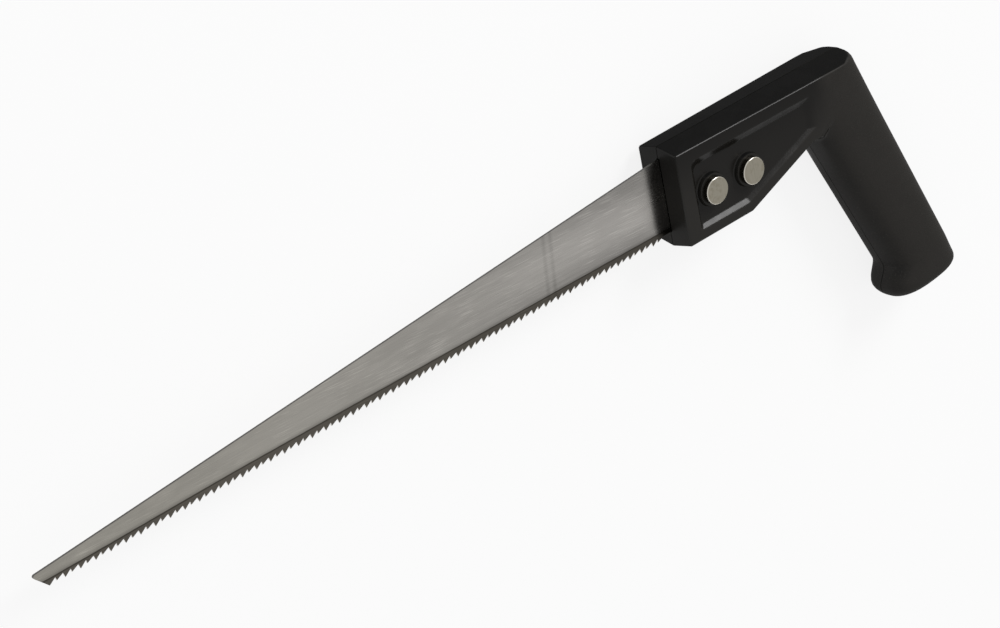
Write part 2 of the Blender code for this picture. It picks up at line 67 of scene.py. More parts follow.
# %% Read the landmarks
blade_low, blade_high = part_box("blade")
handle_low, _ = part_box("handle_left_half")
TOOTH_LINE = blade_low.y
BLADE_TIP = blade_low.x
HANDLE_FRONT = handle_low.x
BLADE_MIDDLE = (blade_low.z + blade_high.z) / 2
print("tooth line y:", round(TOOTH_LINE, 4), "handle front x:", round(HANDLE_FRONT, 4))

# %% [markdown]
# ## Smooth shading
#
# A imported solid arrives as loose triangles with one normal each, so every facet would show. The
# corners are joined again, and each edge that bends by less than a set angle is shaded smooth,
# while the real edges stay sharp. A geometry-nodes modifier does this without touching the mesh.
# Weighted normals then keep the large flats flat right up to their rounded edges.

# %% Build the smoothing tree
WELD_DISTANCE = 1e-5


def smoothing_tree(name, sharp_angle):
    """Node tree that joins loose triangles and marks the edges that stay sharp."""
    tree = bpy.data.node_groups.new(name, "GeometryNodeTree")
    tree.interface.new_socket("Geometry", in_out="INPUT", socket_type="NodeSocketGeometry")
    tree.interface.new_socket("Geometry", in_out="OUTPUT", socket_type="NodeSocketGeometry")
    start = tree.nodes.new("NodeGroupInput")
    weld = tree.nodes.new("GeometryNodeMergeByDistance")
    weld.inputs["Distance"].default_value = WELD_DISTANCE
    angle = tree.nodes.new("GeometryNodeInputMeshEdgeAngle")
    sharp = tree.nodes.new("FunctionNodeCompare")
    sharp.operation = "GREATER_THAN"
    sharp.inputs["B"].default_value = math.radians(sharp_angle)
    normals = tree.nodes.new("GeometryNodeSetMeshNormal")
    normals.mode = "SHARPNESS"
    normals.inputs["Remove Custom"].default_value = True
    finish = tree.nodes.new("NodeGroupOutput")
    tree.links.new(start.outputs["Geometry"], weld.inputs["Geometry"])
    tree.links.new(weld.outputs["Geometry"], normals.inputs["Mesh"])
    tree.links.new(angle.outputs["Unsigned Angle"], sharp.inputs["A"])
    tree.links.new(sharp.outputs["Result"], normals.inputs["Edge Sharpness"])
    tree.links.new(normals.outputs["Mesh"], finish.inputs["Geometry"])
    return tree


# %% Place the smoothing modifiers
SHARP_ANGLES = {"blade": 20.0, "handle": 34.0, "rivet": 40.0}

for kind, degrees in SHARP_ANGLES.items():
    smoothing = smoothing_tree(f"smooth_{kind}", degrees)
    for name, solid in solids.items():
        if kind in name:
            solid.modifiers.new("smooth", "NODES").node_group = smoothing
            solid.modifiers.new("weighted", "WEIGHTED_NORMAL").keep_sharp = True
print("smoothed", len(solids), "solids")

# %% [markdown]
# ## Camera
#
# The photograph looks down on the saw's left side from beyond the tip, with a long lens. A camera
# can be turned by eye until it looks right, but small errors then end up in the shapes. These
# directions were fitted to the saw's straight edges and to the ellipses of the rivet heads, and
# the lens needs no shift.

# %% Place the camera
CAMERA_RIGHT = Vector((0.74917933, -0.18587163, 0.63575315))
CAMERA_UP = Vector((0.41776001, 0.87743521, -0.23576265))
CAMERA_FROM_SLOT = Vector((-0.633983, 0.475851, 0.779386))
LENS = 100.8
SENSOR = 36.0
CLIP_START = 0.05

slot = Vector((HANDLE_FRONT, TOOTH_LINE, BLADE_MIDDLE))
camera_data = bpy.data.cameras.new("camera")
camera_data.lens = LENS
camera_data.sensor_width = SENSOR
camera_data.clip_start = CLIP_START
camera = bpy.data.objects.new("camera", camera_data)
bpy.context.scene.collection.objects.link(camera)
pose = Matrix((CAMERA_RIGHT, CAMERA_UP, CAMERA_RIGHT.cross(CAMERA_UP))).transposed().to_4x4()
pose.translation = slot + CAMERA_FROM_SLOT
camera.matrix_world = pose
bpy.context.scene.camera = camera
print("camera at", [round(value, 3) for value in camera.matrix_world.translation])

# %% [markdown]
# ## Nodes in few lines
#
# A material is a graph, and a graph written line by line gets long. These helpers make a node
# with its values, and take either a number or another node's socket wherever a value goes in.
# The last four are the nodes that nearly every finish needs: arithmetic, a soft step from one
# value to another, noise, and a position that is stretched so that noise comes out long.

# %% Helpers for shader nodes
def feed(tree, socket, value):
    """Links a socket into an input, or sets a plain value on it."""
    if isinstance(value, bpy.types.NodeSocket):
        tree.links.new(value, socket)
    else:
        socket.default_value = value


def add_node(tree, kind, inputs=None, **settings):
    """A node with its settings, and its inputs given as name: number or socket."""
    node = tree.nodes.new(kind)
    for key, value in settings.items():
        setattr(node, key, value)
    for key, value in (inputs or {}).items():
        feed(tree, node.inputs[key], value)
    return node


def calculate(tree, operation, *operands):
    """One math node on numbers or sockets."""
    inputs = dict(enumerate(operands))
    return add_node(tree, "ShaderNodeMath", inputs, operation=operation).outputs[0]


def soft_step(tree, value, start, end, low=0.0, high=1.0):
    """A smooth change from low to high while the value goes from start to end."""
    inputs = {"Value": value, "From Min": start, "From Max": end, "To Min": low, "To Max": high}
    node = add_node(tree, "ShaderNodeMapRange", inputs, interpolation_type="SMOOTHSTEP")
    return node.outputs[0]


def noise(tree, position, scale, **further):
    """The grey value of a noise texture, with further inputs such as detail by name."""
    inputs = {"Vector": position, "Scale": scale}
    inputs.update({key.title(): value for key, value in further.items()})
    return add_node(tree, "ShaderNodeTexNoise", inputs).outputs["Fac"]


def stretch_by(tree, position, factors):
    """The position times a factor on each axis. A small factor draws a texture out."""
    inputs = {0: position, 1: factors}
    return add_node(tree, "ShaderNodeVectorMath", inputs, operation="MULTIPLY").outputs["Vector"]


print("node helpers ready")

# %% [markdown]
# ## Effects that finishes share
#
# Steel, nickel and plastic all carry marks, and both metals carry scratches. Each such effect could
# be built again in every material, but a node group is built once and placed where it is needed,
# with its own values. Its sockets are made on its interface.

# %% Helpers for node groups
def new_group(name, inputs, output):
    """A group with one output. Inputs are given as name: (socket kind, value or None)."""
    tree = bpy.data.node_groups.new(name, "ShaderNodeTree")
    for key, (kind, value) in inputs.items():
        socket = tree.interface.new_socket(key, in_out="INPUT", socket_type=f"NodeSocket{kind}")
        if value is not None:
            socket.default_value = value
    tree.interface.new_socket(output, in_out="OUTPUT", socket_type="NodeSocketFloat")
    taken = tree.nodes.new("NodeGroupInput").outputs
    given = tree.nodes.new("NodeGroupOutput").inputs[output]
    return tree, taken, given


def place_group(tree, group, **inputs):
    """The output of a group, placed in a material with its inputs named in lower case."""
    node = add_node(tree, "ShaderNodeGroup", node_tree=group)
    for key, value in inputs.items():
        feed(tree, node.inputs[key.replace("_", " ").title()], value)
    return node.outputs[0]


print("group helpers ready")

# %% [markdown]
# ## Brush lines
#
# Belt-ground metal carries fine parallel scratches. A noise texture that is stretched hard along
# one direction gives such lines: long in the direction of grinding, a few tenths of a millimetre
# apart across it. A second, broad noise lets them come and go. The blade and the rivet heads both
# use this group, each with its own direction.

# %% Group: brush lines
LINE_DETAIL = 3.0
NOISE_MEAN = 0.5
PATCH_SCALE = 30.0
PATCH_FROM, PATCH_TO = 0.3, 0.7
PATCH_FAINT, PATCH_STRONG = 0.5, 1.5

brush_lines, taken, given = new_group(
    "brush_lines",
    {
        "Position": ("Vector", None),
        "Stretch": ("Vector", None),
        "Patch Scale": ("Float", PATCH_SCALE),
    },
    "Lines",
)
stretched = stretch_by(brush_lines, taken["Position"], taken["Stretch"])
fine = noise(brush_lines, stretched, scale=1.0, detail=LINE_DETAIL)
patches = noise(brush_lines, taken["Position"], taken["Patch Scale"])
centred = calculate(brush_lines, "SUBTRACT", fine, NOISE_MEAN)
strength = soft_step(brush_lines, patches, PATCH_FROM, PATCH_TO, PATCH_FAINT, PATCH_STRONG)
feed(brush_lines, given, calculate(brush_lines, "MULTIPLY", centred, strength))
print("group", brush_lines.name, "has", len(brush_lines.nodes), "nodes")

# %% [markdown]
# ## Handling marks
#
# Nothing that is used stays even: oil, fingers and storage leave soft cloudy marks. Two noises of
# different size, multiplied and pushed through a smooth step, give a mask that is mostly zero with
# a few broad patches. A lower threshold gives more of them. Metal and plastic both take this group,
# each at its own size.

# %% Group: handling marks
MARK_THRESHOLD = 0.22
MARK_RISE = 0.15
MARK_DISTORTION = 0.6
FINER = 4.3
FINER_DETAIL = 4.0

handling_marks, taken, given = new_group(
    "handling_marks",
    {
        "Position": ("Vector", None),
        "Scale": ("Float", None),
        "Threshold": ("Float", MARK_THRESHOLD),
    },
    "Marks",
)
broad = noise(handling_marks, taken["Position"], taken["Scale"], distortion=MARK_DISTORTION)
finer_scale = calculate(handling_marks, "MULTIPLY", taken["Scale"], FINER)
small = noise(handling_marks, taken["Position"], finer_scale, detail=FINER_DETAIL)
cloud = calculate(handling_marks, "MULTIPLY", broad, small)
upper = calculate(handling_marks, "ADD", taken["Threshold"], MARK_RISE)
feed(handling_marks, given, soft_step(handling_marks, cloud, taken["Threshold"], upper))
print("group", handling_marks.name, "has", len(handling_marks.nodes), "nodes")

# %% [markdown]
# ## Materials in few lines
#
# Each finish on the saw starts from the same shader and the same question: where on the saw is this
# point? Its place and its surface normal give masks, and masks mix colours and add to values. These
# steps come back in every material, so they are helpers too.

# %% Helpers for places and values
def start_material(name):
    """A material with a Principled BSDF, and the position on the saw as a socket."""
    material = bpy.data.materials.new(name)
    material.use_nodes = True
    tree = material.node_tree
    position = add_node(tree, "ShaderNodeTexCoord").outputs["Object"]
    return material, tree, tree.nodes["Principled BSDF"], position


def split(tree, vector):
    """The three parts of a vector as sockets."""
    return add_node(tree, "ShaderNodeSeparateXYZ", {"Vector": vector}).outputs


def away_from(tree, value, centre):
    """How far a value is from a centre, on either side of it."""
    return calculate(tree, "ABSOLUTE", calculate(tree, "SUBTRACT", value, centre))


def add_shares(tree, total, *shares):
    """A total to which each (mask, share) pair adds the mask times the share."""
    for mask, share in shares:
        total = calculate(tree, "MULTIPLY_ADD", mask, share, total)
    return total


print("helpers for places and values ready")

# %% Helpers for colours and normals
# A Mix node has a set of sockets for each kind of data. These are the places of the colour ones.
COLOUR_A, COLOUR_B, COLOUR_OUT = 6, 7, 2


def mix_colour(tree, mask, first, second):
    """The first colour where the mask is 0 and the second where it is 1."""
    inputs = {0: mask, COLOUR_A: first, COLOUR_B: second}
    return add_node(tree, "ShaderNodeMix", inputs, data_type="RGBA").outputs[COLOUR_OUT]


def scale_colour(tree, colour, factor):
    """A colour made brighter or darker."""
    inputs = {0: colour, "Scale": factor}
    return add_node(tree, "ShaderNodeVectorMath", inputs, operation="SCALE").outputs["Vector"]


def bump(tree, height, strength, distance):
    """A normal that follows a height."""
    inputs = {"Height": height, "Strength": strength, "Distance": distance}
    return add_node(tree, "ShaderNodeBump", inputs).outputs["Normal"]


print("helpers for colours and normals ready")

# %% [markdown]
# ## Blade steel: a ground surface
#
# The blade is a strip of spring steel, ground lengthwise. Its scratches make the gloss uneven,
# sharp along the blade and wide across it. Modelled grooves could give that, but the shader has it
# built in as anisotropy, which only needs a direction, so the tangent points across the blade.

# %% Start the blade's material
BLADE_ANISOTROPY = 0.85

blade_steel, tree, shader, position = start_material("ground_blade_steel")
shader.inputs["Metallic"].default_value = 1.0
shader.inputs["Anisotropic"].default_value = BLADE_ANISOTROPY
across_blade = add_node(tree, "ShaderNodeCombineXYZ", {"Y": 1.0}).outputs["Vector"]
feed(tree, shader.inputs["Tangent"], across_blade)
along, up, _ = split(tree, position)
print(blade_steel.name, "started")

# %% [markdown]
# ## Blade steel: scratches, flecks and marks
#
# Close up, the ground faces show fine lines, short bright flecks and cloudy marks. The brush group
# gives the lines. Placed once more, turned by a few degrees and cut off below its strongest lines,
# it gives the flecks. The marks come from the handling group, on a position with a small factor
# along the blade, so that they are drawn out lengthwise as a wiping hand or a cut would leave them.

# %% Blade: scratches, flecks and marks
GRIND_STRETCH = (25.0, 2600.0, 2600.0)
CROSS_ANGLE = 0.07
CROSS_STRETCH = (80.0, 3000.0, 3000.0)
CROSS_PATCH_SCALE = 70.0
FLECK_FROM, FLECK_TO = 0.06, 0.20
STEEL_MARK_STRETCH = (0.3, 1.0, 1.0)
STEEL_MARK_SCALE, STEEL_MARK_THRESHOLD = 55.0, 0.17

lines = place_group(tree, brush_lines, position=position, stretch=GRIND_STRETCH)
skewed = add_node(
    tree,
    "ShaderNodeVectorRotate",
    {"Vector": position, "Angle": CROSS_ANGLE},
    rotation_type="Z_AXIS",
).outputs["Vector"]
crossing = place_group(
    tree, brush_lines, position=skewed, stretch=CROSS_STRETCH, patch_scale=CROSS_PATCH_SCALE
)
flecks = soft_step(tree, crossing, FLECK_FROM, FLECK_TO)
marks = place_group(
    tree,
    handling_marks,
    position=stretch_by(tree, position, STEEL_MARK_STRETCH),
    scale=STEEL_MARK_SCALE,
    threshold=STEEL_MARK_THRESHOLD,
)
print("flecks lie at", round(math.degrees(CROSS_ANGLE), 1), "degrees to the scratches")

# %% [markdown]
# ## Blade steel: two rub streaks
#
# Some way ahead of the handle, two faint streaks run side by side across the blade, as a rub
# leaves them. A painted image could hold them, but a streak is only a line, so the distance to it
# is enough. Folding the distance from the middle of the pair once gives both streaks. They lean a
# little, so the place along the blade is shifted with the height.

# %% Blade: rub streaks
RUB_AHEAD = 0.0638
RUB_LEAN = 0.107
RUB_APART = 0.0018
RUB_WIDTH = 0.0016
MARK_SHARE, RUB_SHARE = 0.6, 1.1

rub_line = HANDLE_FRONT - RUB_AHEAD - RUB_LEAN * TOOTH_LINE
leaning = calculate(tree, "MULTIPLY_ADD", up, -RUB_LEAN, along)
from_streak = away_from(tree, away_from(tree, leaning, rub_line), RUB_APART)
rub = soft_step(tree, from_streak, 0.0, RUB_WIDTH, 1.0, 0.0)
clouds = add_shares(tree, 0.0, (marks, MARK_SHARE), (rub, RUB_SHARE))

# %% [markdown]
# ## Blade steel: the hardened band
#
# The strip along the teeth was hardened. It is darker than the rest and ends in a thin brown heat
# line with a faint haze above it, and towards the tip it gets a little narrower. It could be a
# material of its own on its own faces, but then its edge would be straight and hard. A soft step
# on the height above the teeth gives a soft edge, and a little noise in the height lets it waver.

# %% Blade: band, heat line and haze
BAND_WIDTH, BAND_SOFT = 0.0036, 0.00025
BAND_TAPER, BAND_LOSS = 0.100, 0.0011
WOBBLE_SCALE = 260.0
HEAT_LINE_WIDTH, HEAT_LINE_SHARE = 0.0006, 0.85
HAZE_WIDTH, HAZE_SHARE = 0.0020, 0.35

wobble = noise(tree, position, WOBBLE_SCALE)
above_teeth = calculate(tree, "SUBTRACT", up, TOOTH_LINE)
wavering = calculate(tree, "MULTIPLY_ADD", wobble, -BAND_SOFT, above_teeth)
narrower = soft_step(tree, along, BLADE_TIP + BAND_TAPER, BLADE_TIP, 0.0, BAND_LOSS)
height = calculate(tree, "ADD", wavering, narrower)
band = soft_step(tree, height, BAND_WIDTH - BAND_SOFT, BAND_WIDTH + BAND_SOFT, 1.0, 0.0)
above_band = calculate(tree, "SUBTRACT", 1.0, band)
from_line = away_from(tree, height, BAND_WIDTH)
heat_line = soft_step(tree, from_line, 0.0, HEAT_LINE_WIDTH, HEAT_LINE_SHARE, 0.0)
fading = soft_step(tree, height, BAND_WIDTH, BAND_WIDTH + HAZE_WIDTH, HAZE_SHARE, 0.0)
haze = calculate(tree, "MULTIPLY", fading, above_band)
heat = calculate(tree, "MAXIMUM", heat_line, haze)

# %% [markdown]
# ## Blade steel: colours of the faces
#
# Towards the tip, where such a blade sees most use, the steel is warmer and the band paler. One
# colour per zone, mixed over each other by the masks, is easier to tune than a ramp over the whole
# blade, because each colour can be judged at one place.

# %% Blade: colours of the faces
STEEL = (0.462, 0.444, 0.420, 1.0)
STEEL_WORN = (0.482, 0.458, 0.388, 1.0)
BAND_STEEL = (0.088, 0.080, 0.068, 1.0)
BAND_WORN = (0.175, 0.160, 0.137, 1.0)
HEAT_BROWN = (0.026, 0.0215, 0.0155, 1.0)
TIP_WEAR = 0.55

wear = soft_step(tree, along, HANDLE_FRONT, BLADE_TIP, 0.0, TIP_WEAR)
plain = mix_colour(tree, wear, STEEL, STEEL_WORN)
hardened = mix_colour(tree, wear, BAND_STEEL, BAND_WORN)
banded = mix_colour(tree, band, plain, hardened)
heated = mix_colour(tree, heat, banded, HEAT_BROWN)
print("wear at the tip:", TIP_WEAR)

# %% [markdown]
# ## Blade steel: edges and teeth
#
# The sheared edges keep the dark skin of the heat treatment, but the teeth were filed bright. The
# faces could be sorted into material slots, but the mesh stays as it came. The surface normal
# sorts them as well: it points straight out to the side on the ground faces, and not on an edge.

# %% Blade: edges and teeth
EDGE_STEEL = (0.094, 0.089, 0.082, 1.0)
FILED_STEEL = (0.80, 0.78, 0.75, 1.0)
EDGE_TURN, FACE_TURN = 0.5, 0.8
FILED_HEIGHT, FILED_SOFT = 0.0023, 0.0003

facing = add_node(tree, "ShaderNodeNewGeometry").outputs["True Normal"]
sideways = calculate(tree, "ABSOLUTE", split(tree, facing)["Z"])
edge = soft_step(tree, sideways, EDGE_TURN, FACE_TURN, 1.0, 0.0)
filed_top = TOOTH_LINE + FILED_HEIGHT
filed = soft_step(tree, up, filed_top, filed_top - FILED_SOFT)
edge_colour = mix_colour(tree, filed, EDGE_STEEL, FILED_STEEL)
skinned = mix_colour(tree, edge, heated, edge_colour)

# %% [markdown]
# ## Blade steel: painted sheen and shade, and gloss
#
# Near the handle a painted sheen brightens the blade halfway up, and painted shade darkens it
# towards its spine and its teeth. Both are painted into the brightness of the colour, which also
# takes the marks, the flecks and the lines, so that they hold under other light. Marks and band are
# a little rougher too, and the lines feed a very shallow bump.

# %% Blade: painted sheen and shade, and gloss
PAINTED_SHEEN_FROM, PAINTED_SHEEN_TO = 0.130, 0.020
PAINTED_SHEEN_HEIGHT, PAINTED_SHEEN_CORE, PAINTED_SHEEN_HALF = 0.0165, 0.002, 0.013
PAINTED_SHEEN_GAIN, PAINTED_SHADE_LOSS = 0.17, -0.20
STEEL_LEVEL = 1.05
CLOUD_LEVEL, FLECK_LEVEL, LINE_LEVEL = -0.18, 0.26, 0.16
STEEL_ROUGH = 0.24
LINE_ROUGH, CLOUD_ROUGH, BAND_ROUGH = 0.10, 0.03, 0.10
SCRATCH_STRENGTH, SCRATCH_DEPTH = 0.25, 0.00003

# Painted sheen halfway up the blade near the handle, painted shade towards its spine and teeth.
near_handle = soft_step(tree, along, HANDLE_FRONT - PAINTED_SHEEN_FROM, HANDLE_FRONT - PAINTED_SHEEN_TO)
near = calculate(tree, "MULTIPLY", near_handle, above_band)
from_painted_sheen = away_from(tree, up, TOOTH_LINE + PAINTED_SHEEN_HEIGHT)
painted_sheen = soft_step(tree, from_painted_sheen, PAINTED_SHEEN_CORE, PAINTED_SHEEN_HALF, PAINTED_SHEEN_GAIN, PAINTED_SHADE_LOSS)
brightness = add_shares(
    tree,
    STEEL_LEVEL,
    (near, painted_sheen),
    (clouds, CLOUD_LEVEL),
    (flecks, FLECK_LEVEL),
    (lines, LINE_LEVEL),
)
feed(tree, shader.inputs["Base Color"], scale_colour(tree, skinned, brightness))
rough = add_shares(
    tree, STEEL_ROUGH, (lines, LINE_ROUGH), (clouds, CLOUD_ROUGH), (band, BAND_ROUGH)
)
feed(tree, shader.inputs["Roughness"], rough)
feed(tree, shader.inputs["Normal"], bump(tree, lines, SCRATCH_STRENGTH, SCRATCH_DEPTH))
print(blade_steel.name, "has", len(tree.nodes), "nodes")

# %% [markdown]
# ## Satin nickel
#
# The rivet heads are nickel plated and lightly brushed, a little warmer and darker than the blade.
# Each head was brushed before it was driven in, so the lines of the two heads need not be parallel
# to the blade. Soft marks break up the reflection, as on any plated head that has been touched.

# %% Rivets: brushed and marked nickel
NICKEL = (0.435, 0.405, 0.330, 1.0)
NICKEL_DULL = (0.372, 0.341, 0.268, 1.0)
HEAD_STRETCH = (1900.0, 60.0, 60.0)
HEAD_MARK_SCALE = 160.0

rivet_nickel, tree, shader, position = start_material("satin_rivet_nickel")
shader.inputs["Metallic"].default_value = 1.0
lines = place_group(tree, brush_lines, position=position, stretch=HEAD_STRETCH)
marks = place_group(tree, handling_marks, position=position, scale=HEAD_MARK_SCALE)
dulled = mix_colour(tree, marks, NICKEL, NICKEL_DULL)
print(rivet_nickel.name, "started")

# %% [markdown]
# ## Satin nickel: painted highlight on the rim, painted shade on the side
#
# The round edge of a head gets a painted highlight, and its side a painted shade, much darker than
# its face. As on the blade, the surface normal tells them apart, here the smooth one, so that they
# run into each other.

# %% Rivets: painted rim highlight, painted side shade and gloss
NICKEL_RIM_HIGHLIGHT = (0.86, 0.82, 0.73, 1.0)
NICKEL_SIDE_SHADE = (0.137, 0.122, 0.096, 1.0)
RIM_TURN, HEAD_TURN = 0.80, 0.97
SIDE_TURN, SIDE_END = 0.1, 0.5
HEAD_LINE_LEVEL = 0.2
NICKEL_ROUGH = 0.30
HEAD_LINE_ROUGH, HEAD_MARK_ROUGH, HEAD_RIM_ROUGH = 0.1, 0.08, -0.10
HEAD_STRENGTH, HEAD_DEPTH = 0.2, 0.00002

facing = add_node(tree, "ShaderNodeNewGeometry").outputs["Normal"]
sideways = calculate(tree, "ABSOLUTE", split(tree, facing)["Z"])
# Painted highlight on the head's rim, painted shade on its side.
rim = soft_step(tree, sideways, RIM_TURN, HEAD_TURN, 1.0, 0.0)
side = soft_step(tree, sideways, SIDE_TURN, SIDE_END, 1.0, 0.0)
rim_highlighted = mix_colour(tree, rim, dulled, NICKEL_RIM_HIGHLIGHT)
turned = mix_colour(tree, side, rim_highlighted, NICKEL_SIDE_SHADE)
brightness = add_shares(tree, 1.0, (lines, HEAD_LINE_LEVEL))
feed(tree, shader.inputs["Base Color"], scale_colour(tree, turned, brightness))
rough = add_shares(
    tree,
    NICKEL_ROUGH,
    (lines, HEAD_LINE_ROUGH),
    (marks, HEAD_MARK_ROUGH),
    (rim, HEAD_RIM_ROUGH),
)
feed(tree, shader.inputs["Roughness"], rough)
feed(tree, shader.inputs["Normal"], bump(tree, lines, HEAD_STRENGTH, HEAD_DEPTH))
print(rivet_nickel.name, "has", len(tree.nodes), "nodes")

# %% [markdown]
# ## Moulded plastic: a black that stays dark
#
# The handle is one black plastic. Seen at a flat angle, it stays dark over a white table, where a
# polished one would turn grey. Less specular reflection would do that as well, but the gloss seen
# head-on would go with it. A low index of refraction keeps the flat angles dark, and a strong
# specular tint brings the gloss back.

# %% Start the handle's material
PLASTIC_IOR = 1.06
PLASTIC_TINT = (24.0, 24.0, 24.0, 1.0)

handle_plastic, tree, shader, position = start_material("moulded_black_plastic")
shader.inputs["IOR"].default_value = PLASTIC_IOR
shader.inputs["Specular Tint"].default_value = PLASTIC_TINT
along, up, across = split(tree, position)
print(handle_plastic.name, "started")

# %% [markdown]
# ## Moulded plastic: painted light on the low side of the arm
#
# The low side of the arm gets painted light, a paler colour, most of all on the rim below the
# pocket. Two distances find it: the height above the teeth, and how far the surface stands out from
# the middle of the saw. The arm gets thicker towards the grip, so the second is corrected for the
# place along it.

# %% Handle: painted light on the low side
SIDE_SPREAD = 0.019
RIM_FROM, RIM_TO = 0.0098, 0.0108
FLOOR_SHARE = 0.45
LOW_LIGHT_FROM, LOW_LIGHT_TO = 0.012, 0.040

from_middle = away_from(tree, across, BLADE_MIDDLE)
standing_out = calculate(tree, "MULTIPLY_ADD", along, -SIDE_SPREAD, from_middle)
at_front = -SIDE_SPREAD * HANDLE_FRONT
# Painted light: the low side of the arm is made paler, less on the pocket floor.
proud = soft_step(tree, standing_out, at_front + RIM_FROM, at_front + RIM_TO, FLOOR_SHARE, 1.0)
low = soft_step(tree, up, TOOTH_LINE + LOW_LIGHT_FROM, TOOTH_LINE + LOW_LIGHT_TO, 1.0, 0.0)
painted_low_light = calculate(tree, "MULTIPLY", proud, low)

# %% [markdown]
# ## Moulded plastic: arm, grip and their faces
#
# The mould gave two surfaces: smooth and slightly glossy on the arm, fine spark-eroded grain on the
# grip. The place on the saw decides between them, through a soft step across the line from the
# crotch to the heel. The surface normal finds the rest: faces that look up or down, such as the
# arm's top and the foot's end, are duller and get painted shade, a blacker colour. The front face
# is a little duller, and the front of the grip gets painted shade too, the arm's blacker colour.

# %% Handle: arm, grip and their faces
TOP_FROM, TOP_TO = 0.75, 0.95
FRONT_FROM, FRONT_TO = -0.90, -0.99
GRIP_FRONT_FROM, GRIP_FRONT_TO, GRIP_FRONT_SHADE = -0.35, -0.90, 0.8
GRIP_START, GRIP_LEAN, GRIP_SOFT = 0.084, 0.10, 0.006

facing = add_node(tree, "ShaderNodeNewGeometry").outputs["Normal"]
forward, upward, _ = split(tree, facing)
# Painted shade: faces that look up or down get a blacker colour.
top = soft_step(tree, calculate(tree, "ABSOLUTE", upward), TOP_FROM, TOP_TO)
front = soft_step(tree, forward, FRONT_FROM, FRONT_TO)
# Painted shade: the front of the grip gets the arm's blacker colour.
grip_front_shade = soft_step(tree, forward, GRIP_FRONT_FROM, GRIP_FRONT_TO, 0.0, GRIP_FRONT_SHADE)
leaning = calculate(tree, "MULTIPLY_ADD", up, GRIP_LEAN, along)
grip_line = HANDLE_FRONT + GRIP_START + GRIP_LEAN * TOOTH_LINE
reach = soft_step(tree, leaning, grip_line - GRIP_SOFT, grip_line + GRIP_SOFT)
grip = calculate(tree, "MULTIPLY", reach, calculate(tree, "SUBTRACT", 1.0, top))
print("grip starts at x =", round(grip_line, 4))

# %% [markdown]
# ## Moulded plastic: grain and colour
#
# The grip's grain is a small noise. It speckles the colour, because the tops of the grain are
# rubbed a little paler, and handling marks leave faint pale smudges on it. Spots from an image
# would need the surface unwrapped. Noise at the position on the saw needs no unwrapping.

# %% Handle: grain and colour
ARM_BLACK = (0.0068, 0.0062, 0.0054, 1.0)
# Painted light on the low side of the arm.
RIM_PAINTED_LIGHT = (0.0196, 0.0182, 0.0160, 1.0)
# Painted shade on faces that look up or down.
TOP_PAINTED_SHADE = (0.0012, 0.0011, 0.0008, 1.0)
GRIP_BLACK = (0.0190, 0.0173, 0.0150, 1.0)
GRAIN_PALE = (0.0275, 0.0252, 0.0220, 1.0)
GRAIN_SCALE, GRAIN_DETAIL, GRAIN_ROUGHNESS = 1500.0, 2.0, 0.6
GRAIN_TOP_FROM, GRAIN_TOP_TO = 0.5, 0.8
SMUDGE_SCALE, SMUDGE_THRESHOLD, SMUDGE_SHARE = 60.0, 0.17, 0.22

grain = noise(tree, position, GRAIN_SCALE, detail=GRAIN_DETAIL, roughness=GRAIN_ROUGHNESS)
marks = place_group(
    tree, handling_marks, position=position, scale=SMUDGE_SCALE, threshold=SMUDGE_THRESHOLD
)
smudge = calculate(tree, "MULTIPLY", marks, SMUDGE_SHARE)
grain_top = soft_step(tree, grain, GRAIN_TOP_FROM, GRAIN_TOP_TO)
paler = calculate(tree, "MAXIMUM", grain_top, smudge)
speckle = calculate(tree, "MULTIPLY", paler, grip)
# The low side of the arm gets painted light.
arm = mix_colour(tree, painted_low_light, ARM_BLACK, RIM_PAINTED_LIGHT)
# The grip's front and the faces that look up or down get painted shade.
gripped = mix_colour(tree, grip_front_shade, GRIP_BLACK, ARM_BLACK)
zoned = mix_colour(tree, top, mix_colour(tree, grip, arm, gripped), TOP_PAINTED_SHADE)
feed(tree, shader.inputs["Base Color"], mix_colour(tree, speckle, zoned, GRAIN_PALE))

# %% [markdown]
# ## Moulded plastic: gloss
#
# Each zone has its own roughness, and the marks make it a little uneven. The grain also feeds a
# bump, deep on the grip and nearly flat on the arm. Modelled grain would need millions of faces.

# %% Handle: gloss
ARM_ROUGH, FRONT_ROUGH, TOP_ROUGH, GRIP_ROUGH = 0.20, 0.42, 0.90, 0.52
SMUDGE_ROUGH = 0.05
ARM_STRENGTH, GRIP_STRENGTH = 0.05, 0.55
GRAIN_DEPTH = 0.00012

fronted = soft_step(tree, front, 0.0, 1.0, ARM_ROUGH, FRONT_ROUGH)
topped = soft_step(tree, top, 0.0, 1.0, fronted, TOP_ROUGH)
zone_rough = soft_step(tree, grip, 0.0, 1.0, topped, GRIP_ROUGH)
feed(tree, shader.inputs["Roughness"], add_shares(tree, zone_rough, (marks, SMUDGE_ROUGH)))
strength = soft_step(tree, grip, 0.0, 1.0, ARM_STRENGTH, GRIP_STRENGTH)
feed(tree, shader.inputs["Normal"], bump(tree, grain, strength, GRAIN_DEPTH))
print(handle_plastic.name, "has", len(tree.nodes), "nodes")

# %% [markdown]
# ## Give each solid its finish
#
# A solid keeps the material slot that came with it, and only the material in the slot changes. Each
# piece's name says what it is, so the name picks the finish.

# %% Assign the finishes
FINISHES = {"blade": blade_steel, "handle": handle_plastic, "rivet": rivet_nickel}
for name, solid in solids.items():
    for kind, material in FINISHES.items():
        if kind in name:
            solid.data.materials[0] = material
            print(name, "gets", material.name)

# %% [markdown]
# ## Table
#
# The saw lies on a plain pale table that fills the picture. A curved backdrop could carry on into
# the distance, but the camera looks down, so a large flat face is enough.

# %% Table top
FLOOR_HALF = 20.0

